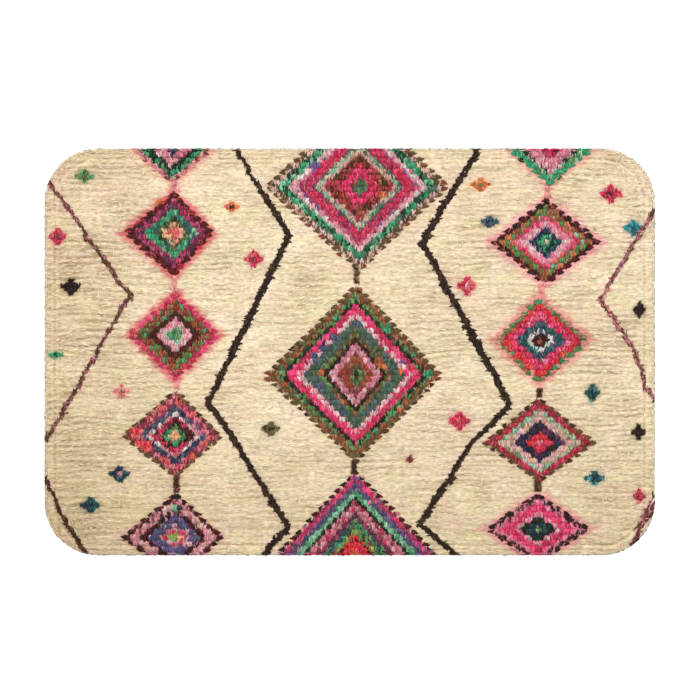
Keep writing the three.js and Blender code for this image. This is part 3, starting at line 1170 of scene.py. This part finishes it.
def groundStrands():
    settings = creamStrands
    draw = np.random.default_rng(32)
    x, y = knotGrid(settings["row"], settings["pitch"], 31)
    count = len(x)
    x = x + draw.normal(0, settings["jitter"], count)
    y = y + draw.normal(0, settings["jitter"], count)
    strands = newStrands(x, y)
    strands["z"] = laidOn(strands, draw, settings) + woolRelief(x, y) * settings["relief"]
    share = settings["upright"] + settings["uprightPatches"] * (softNoise(x, y, 26, 77) > 0.4)
    turned = np.where(draw.random(count) < share, math.pi / 2, 0)
    strands["angle"] = turned + draw.normal(0, settings["turn"], count)
    drawShapes(strands, draw, settings)
    value = 1 + draw.normal(0, settings["value"], count)
    strands["colour"] = np.repeat(value[:, None], 3, axis=1)
    inside = insetOf(x, y) > knotSettings["edge"]
    return chooseStrands(strands, inside & clearOfDye(strands))


def outlinePoint(along, inset):
    # a point and direction on the outline drawn in by an inset; along runs round the mat in millimetres
    radius = matSize["cornerRadius"]
    coreX, coreY = matSize["length"] - 2 * radius, matSize["width"] - 2 * radius
    arc = radius * math.pi / 2
    reach = radius - inset
    stretches = [coreX, arc, coreY, arc, coreX, arc, coreY, arc]
    corners = [(coreX / 2 * x, coreY / 2 * y) for x, y in ((1, 1), (1, -1), (-1, -1), (-1, 1))]
    along = along % sum(stretches)
    for number, stretch in enumerate(stretches):
        if along <= stretch:
            break
        along -= stretch
    side = number // 2
    heading = -side * math.pi / 2
    if number % 2 == 0:
        start = corners[(side - 1) % 4]
        outX, outY = -math.sin(heading), math.cos(heading)
        return (start[0] + outX * reach + math.cos(heading) * along,
                start[1] + outY * reach + math.sin(heading) * along, heading)
    turn = heading - along / radius
    corner = corners[side]
    return corner[0] - math.sin(turn) * reach, corner[1] + math.cos(turn) * reach, turn


outlineLength = 2 * (matSize["length"] + matSize["width"] - 4 * matSize["cornerRadius"]) \
    + 2 * math.pi * matSize["cornerRadius"]


def placesRound(alongs, inset):
    return np.array([outlinePoint(along, inset) for along in alongs]).T


# the outermost strands of the rolled hem
rimSettings = {
    "rows": [(2.3, 6.8), (1.4, 5.9), (0.9, 4.9), (0.8, 3.8), (1.0, 2.6), (1.9, 1.4)],  # inset, height
    "step": 4.4,
    "length": (5.0, 7.5),
    "width": (1.4, 1.9),
    "height": (1.3, 1.8),
    "bend": 0.12,
    "turn": 0.16,
    "jitter": 0.6,  # along the outline, as a share of the step
    "lift": 0.15,
    "inner": 2.5,  # the pattern is carried over the edge from this inset
    "edgeShade": 0.42,  # painted shade: the outline itself is darker, where the rolled edge turns down
    "edgeReach": (0.8, 1.6),
    "value": 0.05,
    "warmth": (1, 0.93, 0.72),
}


def rimStrands():
    settings = rimSettings
    draw = np.random.default_rng(52)
    count = int(outlineLength / settings["step"])
    groups = []
    for inset, height in settings["rows"]:
        alongs = (np.arange(count) + draw.random(count) * settings["jitter"]) * settings["step"]
        x, y, heading = placesRound(alongs, inset)
        strands = newStrands(x, y)
        strands["angle"] = heading + draw.normal(0, settings["turn"], count)
        strands["z"] = height + draw.normal(0, settings["lift"], count)
        drawShapes(strands, draw, settings, ("length", "width", "height", "bend"))
        inner = settings["inner"] - inset
        x, y = x + np.sin(heading) * inner, y - np.cos(heading) * inner
        yarn = patternYarns(x, y, draw.random(count))
        yarn = np.where(lineReach(x, y) < 0, yarnNames.index("bark"), yarn)
        # painted shade, darkest at the outline and fading inwards
        shadedEdge = settings["edgeShade"]
        shadedEdge += (1 - shadedEdge) * smoothStep(inset, *settings["edgeReach"])
        value = shadedEdge * (1 + draw.normal(0, settings["value"], count))
        colour = woolColour(x, y, yarn) * toned(value, settings["warmth"])
        strands["colour"] = np.clip(colour, leastLight, 1)
        groups.append(strands)
    return joinStrands(*groups)


def splitPiece(name, strands, material, onGround=False):
    # pieces side by side across the mat, each small enough to handle
    most = 10000
    parts = math.ceil(len(strands["x"]) / most)
    order = np.argsort(strands["x"], kind="stable")
    made = []
    for number, chosen in enumerate(np.array_split(order, parts)):
        label = f"{name}{number + 1}" if parts > 1 else name
        made.append(strandPiece(label, chooseStrands(strands, chosen), material, onGround))
    return made


ground, lines, rim = groundStrands(), lineStrands(), rimStrands()
motifs = joinStrands(dyedStrands(), toothStrands())
pilePieces = splitPiece("creamPile", ground, creamWool, onGround=True)
pilePieces += splitPiece("dyedPile", motifs, dyedWool)
pilePieces += splitPiece("linePile", lines, dyedWool)
pilePieces += splitPiece("hemPile", rim, creamWool)
print("strands:", len(ground["x"]), "cream,", len(motifs["x"]), "dyed,", len(lines["x"]), "in the lines,",
      len(rim["x"]), "round the hem")

# Stitching in the channel
stitchSettings = {
    "length": 3.4,
    "pitch": 4.6,
    "width": 0.7,
    "height": 0.6,
    "arch": 0.3,
    "sunk": 0.75,
    "colour": (188, 166, 126),
}


def stitchStrands():
    settings = stitchSettings
    count = int(outlineLength / settings["pitch"])
    inset = matSize["channelInset"]
    x, y, heading = placesRound(np.arange(count) * outlineLength / count, inset)
    strands = newStrands(x, y)
    strands["angle"] = heading
    strands["z"] += float(faceHeight(inset)) - settings["sunk"]
    for key in ("length", "width", "height", "arch"):
        strands[key] += settings[key]
    strands["colour"] = np.tile(asLight(settings["colour"]), (count, 1))
    return strands


hemThread = woolMaterial("hemThread", 1500.0, 0.15, 0.2, 0.7)
stitches = stitchStrands()
hemStitching = strandPiece("hemStitching", stitches, hemThread)
print("stitches:", len(stitches["x"]))

# What stands for what
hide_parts("mat")
for piece in [matCloth, hemStitching] + pilePieces:
    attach(piece, "root")

# Studio
studio = {
    "floorHalf": 6,
    "floorHeight": -0.0002,
    "floorShine": 0.5,
    "windowPower": 23.1,
    "windowAt": (-0.25, 1.35, 1.45),
    "windowSize": 1.3,
    "sky": 0.905,
    "cameraAt": (0.0003, 0.0018, 1.9153),
    "lens": 100,
}

half, height = studio["floorHalf"], studio["floorHeight"]
floorMesh = bpy.data.meshes.new("floor")
floorMesh.from_pydata([(x * half, y * half, height) for x, y in ((-1, -1), (1, -1), (1, 1), (-1, 1))],
                      [], [(0, 1, 2, 3)])
floor = addObject("floor", floorMesh)
paleFloor, _, _ = newMaterial("paleFloor", {
    "Base Color": (0.9, 0.9, 0.9, 1), "Roughness": 0.8,
    "Emission Color": (1, 1, 1, 1), "Emission Strength": studio["floorShine"]})
floorMesh.materials.append(paleFloor)

window = bpy.data.lights.new("window", "AREA")
window.shape = "SQUARE"
window.size = studio["windowSize"]
window.energy = studio["windowPower"]
windowObject = addObject("window", window)
windowObject.location = studio["windowAt"]
windowObject.rotation_mode = "QUATERNION"
windowObject.rotation_quaternion = Vector(studio["windowAt"]).to_track_quat("Z", "Y")

sky = bpy.data.worlds.new("studioSky")
sky.use_nodes = True
background = sky.node_tree.nodes["Background"]
fillSockets(sky.node_tree, background, {"Color": (1, 1, 1, 1), "Strength": studio["sky"]})
bpy.context.scene.world = sky
bpy.context.scene.view_settings.view_transform = "Standard"

lens = bpy.data.cameras.new("camera")
lens.lens = studio["lens"]
lens.sensor_width = 36
camera = addObject("camera", lens)
camera.location = studio["cameraAt"]
bpy.context.scene.camera = camera
